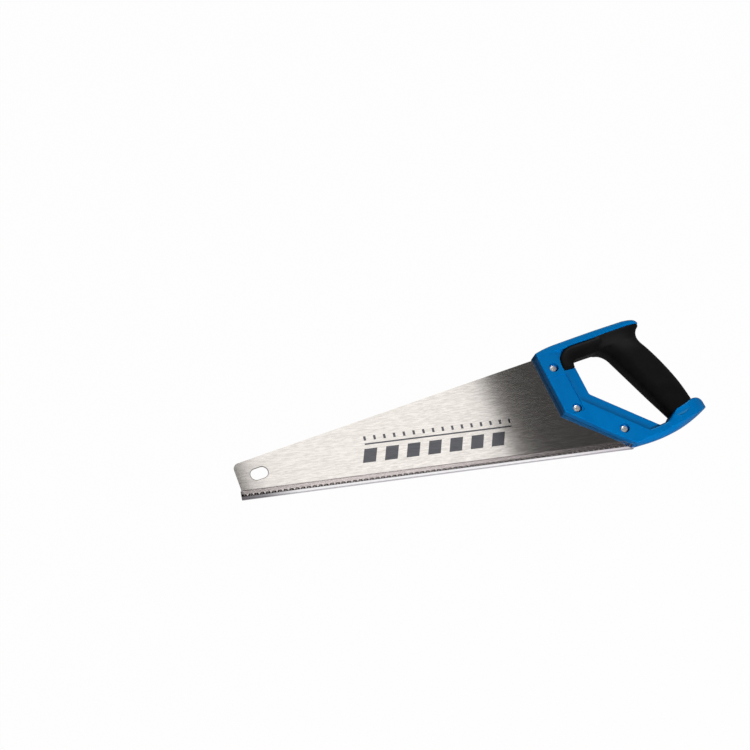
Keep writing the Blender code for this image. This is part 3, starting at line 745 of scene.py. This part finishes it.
def build_guard(material):
    """Clear channel over the teeth, its end mitred along the handle."""
    low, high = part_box("tooth_guard")
    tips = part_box("blade")[0].y
    lip = BLADE_THICKNESS / 2 + GUARD_CLEARANCE
    room = BLADE_THICKNESS / 2 + GUARD_ROOM
    centre = (GUARD_WALL + room - GUARD_DROP, 0)
    outer = room + GUARD_WALL
    profile = [(GUARD_LIP, lip), (GUARD_LIP, lip + GUARD_WALL)]
    profile += arc(centre, outer, outer, 90, 270, TURN_STEPS // 2)
    profile += [(GUARD_LIP, -lip - GUARD_WALL), (GUARD_LIP, -lip)]
    profile += arc(centre, room, room, 270, 90, TURN_STEPS // 2)
    shape = stack([(profile, low.x), (profile, high.x)])
    axes = Matrix(((0, 0, 1, 0), (1, 0, 0, tips), (0, 1, 0, middle("blade").z), (0, 0, 0, 1)))
    bmesh.ops.transform(shape, verts=shape.verts, matrix=axes)
    inward = HANDLE_AXES.to_3x3() @ Vector((math.cos(MITRE_ANGLE), math.sin(MITRE_ANGLE), 0))
    edge = HANDLE_AXES @ mitre_point(0, -GUARD_MITRE_GAP).to_3d()
    cut = bmesh.ops.bisect_plane(
        shape, geom=shape.verts[:] + shape.edges[:] + shape.faces[:],
        plane_co=edge, plane_no=inward, clear_outer=True,
    )["geom_cut"]
    edges = [item for item in cut if isinstance(item, bmesh.types.BMEdge)]
    bmesh.ops.holes_fill(shape, edges=edges)
    guard = make_object("clear_guard", shape)
    hand_in(guard, material, "guard", "guard_plastic", "tooth_guard")


def new_material(name, roughness, metallic=0.0):
    material = bpy.data.materials.new(name)
    material.use_nodes = True
    tree = material.node_tree
    shader = tree.nodes["Principled BSDF"]
    shader.inputs["Roughness"].default_value = roughness
    shader.inputs["Metallic"].default_value = metallic
    return material, tree, shader


def add_node(tree, kind, values=None, **settings):
    node = tree.nodes.new(kind)
    for name, value in settings.items():
        setattr(node, name, value)
    for socket, value in (values or {}).items():
        node.inputs[socket].default_value = value
    return node


def speckle_group():
    """Grain of a moulded or ground surface: a value round one half, stretched along each axis."""
    group = bpy.data.node_groups.new("surface_grain", "ShaderNodeTree")
    group.interface.new_socket("Stretch", in_out="INPUT", socket_type="NodeSocketVector")
    group.interface.new_socket("Grain", in_out="OUTPUT", socket_type="NodeSocketFloat")
    group.interface.new_socket("Cloud", in_out="OUTPUT", socket_type="NodeSocketFloat")
    start = group.nodes.new("NodeGroupInput")
    end = group.nodes.new("NodeGroupOutput")
    place = add_node(group, "ShaderNodeTexCoord")
    fit = add_node(group, "ShaderNodeVectorMath", operation="MULTIPLY")
    grain = add_node(group, "ShaderNodeTexNoise", {"Scale": 1.0, "Detail": 3.0, "Roughness": 0.6})
    cloud = add_node(group, "ShaderNodeTexNoise", {"Scale": 0.06, "Detail": 2.0, "Roughness": 0.5})
    group.links.new(place.outputs["Object"], fit.inputs[0])
    group.links.new(start.outputs["Stretch"], fit.inputs[1])
    for noise, name in ((grain, "Grain"), (cloud, "Cloud")):
        group.links.new(fit.outputs[0], noise.inputs["Vector"])
        group.links.new(noise.outputs["Fac"], end.inputs[name])
    return group


GRAIN = speckle_group()


def add_grain(tree, stretch):
    node = tree.nodes.new("ShaderNodeGroup")
    node.node_tree = GRAIN
    node.inputs["Stretch"].default_value = stretch
    return node


def add_ramp(tree, source, low, high):
    """Colour that runs from low to high as a value goes from a third to two thirds."""
    ramp = add_node(tree, "ShaderNodeValToRGB")
    ramp.color_ramp.elements[0].position = 0.33
    ramp.color_ramp.elements[1].position = 0.67
    ramp.color_ramp.elements[0].color = (*low, 1)
    ramp.color_ramp.elements[1].color = (*high, 1)
    tree.links.new(source, ramp.inputs["Fac"])
    return ramp.outputs["Color"]


def add_range(tree, source, low, high):
    """Value from low to high as a noise value goes from a third to two thirds."""
    node = add_node(tree, "ShaderNodeMapRange", {1: 0.33, 2: 0.67, 3: low, 4: high})
    tree.links.new(source, node.inputs[0])
    return node.outputs[0]


def add_bump(tree, shader, height, depth, strength):
    bump = add_node(tree, "ShaderNodeBump", {"Strength": strength, "Distance": depth})
    tree.links.new(height, bump.inputs["Height"])
    tree.links.new(bump.outputs["Normal"], shader.inputs["Normal"])


def add_place(tree):
    """Place on the piece, one output an axis."""
    place = add_node(tree, "ShaderNodeTexCoord")
    parts = add_node(tree, "ShaderNodeSeparateXYZ")
    tree.links.new(place.outputs["Object"], parts.inputs[0])
    return parts.outputs


def add_tint(tree, share, colour, tint):
    """Colour times a tint, where the share is 1."""
    mix = add_node(tree, "ShaderNodeMix", data_type="RGBA", blend_type="MULTIPLY")
    tree.links.new(share, mix.inputs[0])
    tree.links.new(colour, mix.inputs[6])
    mix.inputs[7].default_value = (*tint, 1)
    return mix.outputs[2]


def add_math(tree, operation, *values):
    """Sum on numbers and sockets."""
    node = add_node(tree, "ShaderNodeMath", operation=operation)
    for socket, value in zip(node.inputs, values):
        if isinstance(value, float):
            socket.default_value = value
        else:
            tree.links.new(value, socket)
    return node.outputs[0]


def add_within(tree, value, low, high):
    """Mask that is 1 where a value lies between two numbers."""
    above = add_math(tree, "GREATER_THAN", value, low)
    return add_math(tree, "MULTIPLY", above, add_math(tree, "LESS_THAN", value, high))


def add_print(tree):
    """Plain print on the blade: a row of ticks over a rule, and slanted bars under it."""
    place = add_place(tree)
    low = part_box("blade")[0]
    along = add_math(tree, "SUBTRACT", place["X"], low.x + PRINT_START)
    across = add_math(tree, "SUBTRACT", place["Y"], low.y + PRINT_LEVEL)
    slanted = add_math(tree, "MULTIPLY_ADD", across, -PRINT_SLANT, along)
    bars = add_within(tree, add_math(tree, "MODULO", slanted, BAR_PITCH), 0.0, BAR_BREADTH)
    bars = add_math(tree, "MULTIPLY", bars, add_within(tree, slanted, 0.0, PRINT_LENGTH))
    bars = add_math(tree, "MULTIPLY", bars, add_within(tree, across, *BAR_LEVELS))
    ticks = add_within(tree, add_math(tree, "MODULO", along, TICK_PITCH), 0.0, TICK_BREADTH)
    ticks = add_math(tree, "MULTIPLY", ticks, add_within(tree, across, *TICK_LEVELS))
    rule = add_math(tree, "MAXIMUM", ticks, add_within(tree, across, *RULE_LEVELS))
    rule = add_math(tree, "MULTIPLY", rule, add_within(tree, along, 0.0, PRINT_LENGTH))
    return add_math(tree, "MAXIMUM", bars, rule)


def add_slot_painted_shade(tree):
    """Mask of the painted shade: a dark rim round the hanging slot, standing in for its shaded cut edge.
    """
    place = add_node(tree, "ShaderNodeTexCoord")
    centre = HANDLE_AXES @ SLOT_CENTRE.to_3d()
    offset = add_node(tree, "ShaderNodeVectorMath", {1: centre}, operation="SUBTRACT")
    tree.links.new(place.outputs["Object"], offset.inputs[0])
    parts = []
    for axis in (0, 1):
        part = add_node(
            tree, "ShaderNodeVectorMath", {1: HANDLE_AXES.col[axis].xyz}, operation="DOT_PRODUCT",
        )
        tree.links.new(offset.outputs[0], part.inputs[0])
        parts.append(add_math(tree, "ABSOLUTE", part.outputs["Value"]))
    along, across = parts
    straight = SLOT_HALF_LENGTH - SLOT_HALF_WIDTH
    beyond = add_math(tree, "MAXIMUM", add_math(tree, "SUBTRACT", along, straight), 0.0)
    square = add_math(tree, "POWER", across, 2.0)
    away = add_math(tree, "SQRT", add_math(tree, "MULTIPLY_ADD", beyond, beyond, square))
    return add_math(tree, "LESS_THAN", away, SLOT_HALF_WIDTH + SLOT_LINE)


def blade_material():
    """Brushed steel with a plain print, and a greyer band along its hardened teeth."""
    material, tree, shader = new_material("brushed_blade", 0.18, 1.0)
    grain = add_grain(tree, (130.0, 800.0, 800.0))
    steel = add_ramp(tree, grain.outputs["Grain"], (0.570, 0.538, 0.509), (0.740, 0.699, 0.662))
    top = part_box("blade")[0].y + HARD_BAND
    hard = add_node(tree, "ShaderNodeMapRange", {1: top, 2: top - HARD_BAND_EDGE})
    tree.links.new(add_place(tree)["Y"], hard.inputs[0])
    steel = add_tint(tree, hard.outputs[0], steel, HARD_BAND_TINT)
    # painted shade: a dark rim round the hanging slot, where its cut edge lies in shade
    steel = add_tint(tree, add_slot_painted_shade(tree), steel, SLOT_PAINTED_SHADE)
    tree.links.new(add_tint(tree, add_print(tree), steel, PRINT_TINT), shader.inputs["Base Color"])
    rough = add_node(tree, "ShaderNodeMath", {1: HARD_BAND_ROUGHNESS}, operation="MULTIPLY_ADD")
    tree.links.new(hard.outputs[0], rough.inputs[0])
    tree.links.new(add_range(tree, grain.outputs["Grain"], 0.093, 0.097), rough.inputs[2])
    tree.links.new(rough.outputs[0], shader.inputs["Roughness"])
    return material


def moulding_material():
    material, tree, shader = new_material("satin_blue", 0.42)
    shader.inputs["Specular IOR Level"].default_value = 0.3
    shader.inputs["Specular Tint"].default_value = (0.1, 0.85, 1.0, 1)
    grain = add_grain(tree, (2600.0, 2600.0, 2600.0))
    tree.links.new(
        add_ramp(tree, grain.outputs["Cloud"], (0.0, 0.150, 0.455), (0.0, 0.164, 0.485)),
        shader.inputs["Base Color"],
    )
    tree.links.new(add_range(tree, grain.outputs["Grain"], 0.30, 0.36), shader.inputs["Roughness"])
    add_bump(tree, shader, grain.outputs["Grain"], 0.00004, 0.3)
    return material


def rubber_material():
    material, tree, shader = new_material("soft_black", 0.6)
    shader.inputs["Specular IOR Level"].default_value = 0.13
    grain = add_grain(tree, (1800.0, 1800.0, 1800.0))
    tree.links.new(
        add_ramp(tree, grain.outputs["Cloud"], (0.0024, 0.0023, 0.0023), (0.004, 0.0039, 0.0039)),
        shader.inputs["Base Color"],
    )
    tree.links.new(add_range(tree, grain.outputs["Grain"], 0.44, 0.54), shader.inputs["Roughness"])
    add_bump(tree, shader, grain.outputs["Grain"], 0.00006, 0.35)
    return material


def screw_material():
    material, tree, shader = new_material("bright_screw", 0.25, 0.8)
    grain = add_grain(tree, (3000.0, 3000.0, 3000.0))
    tree.links.new(
        add_ramp(tree, grain.outputs["Cloud"], (0.86, 0.85, 0.84), (0.95, 0.94, 0.93)),
        shader.inputs["Base Color"],
    )
    tree.links.new(add_range(tree, grain.outputs["Grain"], 0.16, 0.24), shader.inputs["Roughness"])
    return material


def add_bands(tree, height, bands):
    """Grey that steps from tint to tint up the wall of the guard: pairs of a height and a tint."""
    ramp = add_node(tree, "ShaderNodeValToRGB")
    points = ramp.color_ramp.elements
    while len(points) < len(bands):
        points.new(0.5)
    for point, (level, tint) in zip(points, bands):
        point.position = level
        point.color = (*tint, 1)
    tree.links.new(height, ramp.inputs["Fac"])
    return ramp.outputs["Color"]


def guard_material():
    """Clear plastic with painted dark lines along its fold and lip, painted shade in its back wall behind
    the teeth, and painted shade towards its ends.
    """
    material, tree, shader = new_material("clear_plastic", 0.02)
    shader.inputs["IOR"].default_value = 1.08
    shader.inputs["Transmission Weight"].default_value = 1.0
    low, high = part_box("tooth_guard")
    place = add_place(tree)
    height = add_node(tree, "ShaderNodeMapRange", {1: low.y, 2: high.y})
    tree.links.new(place["Y"], height.inputs[0])
    along = add_node(tree, "ShaderNodeMapRange", {1: low.x, 2: high.x})
    tree.links.new(place["X"], along.inputs[0])
    # lip and line are painted shade: dark lines at the lip and along the fold, where the bent clear wall
    # looks darker
    clear, lip = (0.96, 0.955, 0.96), (0.75, 0.73, 0.75)
    # shade is painted shade, used in the back wall at the height of the gullets so the gaps between the
    # teeth look dark
    line, shade = (0.35, 0.33, 0.36), (0.02, 0.018, 0.018)
    front = add_bands(tree, height.outputs[0], [
        (0.0, line), (0.07, line), (0.10, clear), (0.95, clear), (0.97, lip),
    ])
    # painted shade: a dark band in the back wall behind the teeth
    back = add_bands(tree, height.outputs[0], [
        (0.0, line), (0.07, line), (0.10, clear), (0.43, clear),
        (0.46, shade), (0.69, shade), (0.72, clear),
    ])
    # painted shade: the back wall darker towards the toe end and greyer at the heel end
    ends = add_bands(tree, along.outputs[0], [
        (0.0, (0.14, 0.13, 0.14)), (0.06, (0.30, 0.29, 0.30)), (0.14, clear),
        (0.80, clear), (1.0, (0.62, 0.58, 0.62)),
    ])
    dim = add_node(tree, "ShaderNodeMix", {0: 1.0}, data_type="RGBA", blend_type="MULTIPLY")
    tree.links.new(back, dim.inputs[6])
    tree.links.new(ends, dim.inputs[7])
    side = add_node(tree, "ShaderNodeMath", {1: middle("blade").z}, operation="GREATER_THAN")
    tree.links.new(place["Z"], side.inputs[0])
    tint = add_node(tree, "ShaderNodeMix", data_type="RGBA")
    tree.links.new(side.outputs[0], tint.inputs[0])
    tree.links.new(dim.outputs[2], tint.inputs[6])
    tree.links.new(front, tint.inputs[7])
    tree.links.new(tint.outputs[2], shader.inputs["Base Color"])
    return material


def build_stage():
    """Pale floor, white where it is seen and dim in metal, with a faint shadow of the object."""
    shape = bmesh.new()
    bmesh.ops.create_grid(shape, x_segments=1, y_segments=1, size=FLOOR_SIZE / 2)
    bmesh.ops.translate(shape, verts=shape.verts, vec=(0, 0, CAD_BOX[0].z - FLOOR_GAP))
    floor = make_object("floor", shape)
    material, tree, shader = new_material("white_floor", 0.9)
    shader.inputs["Base Color"].default_value = FLOOR_TONE
    shader.inputs["Specular IOR Level"].default_value = 0.0
    glow = add_node(tree, "ShaderNodeEmission", {"Color": (1, 1, 1, 1), "Strength": 1.0})
    mix = add_node(tree, "ShaderNodeMixShader")
    dim = add_choice(tree, add_seen(tree, "Is Glossy Ray"), 0.0, FLOOR_MIRRORED)
    seen = add_seen(tree, "Is Camera Ray", "Is Transmission Ray")
    share = add_choice(tree, seen, dim, FLOOR_WHITE)
    tree.links.new(share, mix.inputs["Fac"])
    tree.links.new(shader.outputs[0], mix.inputs[1])
    tree.links.new(glow.outputs[0], mix.inputs[2])
    tree.links.new(mix.outputs[0], tree.nodes["Material Output"].inputs["Surface"])
    floor.data.materials.append(material)


def add_seen(tree, *rays):
    """Mask that is 1 for rays of these kinds."""
    path = add_node(tree, "ShaderNodeLightPath")
    seen = path.outputs[rays[0]]
    for ray in rays[1:]:
        either = add_node(tree, "ShaderNodeMath", operation="MAXIMUM")
        tree.links.new(seen, either.inputs[0])
        tree.links.new(path.outputs[ray], either.inputs[1])
        seen = either.outputs[0]
    return seen


def add_choice(tree, mask, off, on):
    """Value that is one number or socket where a mask is 0, and another where it is 1."""
    node = add_node(tree, "ShaderNodeMix")
    tree.links.new(mask, node.inputs[0])
    for socket, value in ((node.inputs[2], off), (node.inputs[3], on)):
        if isinstance(value, float):
            socket.default_value = value
        else:
            tree.links.new(value, socket)
    return node.outputs[0]


def build_world():
    """Plain room, white where it is seen; metal mirrors it pale, with one dim patch overhead."""
    world = bpy.data.worlds.new("studio")
    bpy.context.scene.world = world
    world.use_nodes = True
    tree = world.node_tree
    light = tree.nodes["Background"]
    light.inputs["Color"].default_value = (1, 1, 1, 1)
    place = add_node(tree, "ShaderNodeTexCoord")
    near = add_node(tree, "ShaderNodeVectorMath", {1: CEILING_DIRECTION}, operation="DOT_PRODUCT")
    core, rim = (math.cos(turn) for turn in CEILING_SPREAD)
    walls = add_node(tree, "ShaderNodeMapRange", {1: rim, 2: core, 3: WALLS, 4: CEILING})
    tree.links.new(place.outputs["Generated"], near.inputs[0])
    tree.links.new(near.outputs["Value"], walls.inputs[0])
    mirrored_rays = add_seen(tree, "Is Glossy Ray", "Is Transmission Ray")
    shine = add_choice(tree, mirrored_rays, AMBIENT, walls.outputs[0])
    seen = add_choice(tree, add_seen(tree, "Is Camera Ray"), shine, 1.0)
    tree.links.new(seen, light.inputs["Strength"])


def add_lamp(name, place, target, size, power, turn=0.0):
    lamp = bpy.data.lights.new(name, "AREA")
    lamp.shape = "RECTANGLE"
    lamp.size, lamp.size_y = size
    lamp.energy = power
    thing = bpy.data.objects.new(name, lamp)
    thing.location = place
    aim = Vector(target) - Vector(place)
    thing.rotation_mode = "QUATERNION"
    thing.rotation_quaternion = aim.to_track_quat("-Z", "Y") @ Quaternion((0, 0, 1), turn)
    bpy.context.scene.collection.objects.link(thing)
    return thing


def build_lights():
    """Softbox that the blade mirrors, a broad lamp in front of the handle, and a back lamp for glints."""
    low = middle("blade").z
    below = (*MIRROR_PLACE[:2], low)
    add_lamp("mirror_softbox", MIRROR_PLACE, below, MIRROR_SIZE, MIRROR_POWER, MIRROR_TURN)
    key = add_lamp("front_softbox", KEY_PLACE, (*KEY_TARGET, low), KEY_SIZE, KEY_POWER)
    key.visible_glossy = False
    key.visible_transmission = False
    glint = add_lamp("back_softbox", BACK_PLACE, (*BACK_TARGET, low), BACK_SIZE, BACK_POWER)
    glint.visible_diffuse = False
    glint.visible_transmission = False


def build_camera():
    lens = bpy.data.cameras.new("photo_camera")
    lens.lens = CAMERA_LENS
    lens.sensor_width = CAMERA_SENSOR
    camera = bpy.data.objects.new("photo_camera", lens)
    camera.location = CAMERA_PLACE
    camera.rotation_euler = [math.radians(turn) for turn in CAMERA_TURN]
    bpy.context.scene.collection.objects.link(camera)
    bpy.context.scene.camera = camera


def build_scene():
    bpy.context.scene.view_settings.view_transform = "Standard"
    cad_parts["blade"].data.materials.clear()
    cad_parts["blade"].data.materials.append(blade_material())
    build_moulding(moulding_material())
    build_grip(rubber_material())
    build_screws(screw_material())
    build_guard(guard_material())
    build_stage()
    build_world()
    build_lights()
    build_camera()


build_scene()
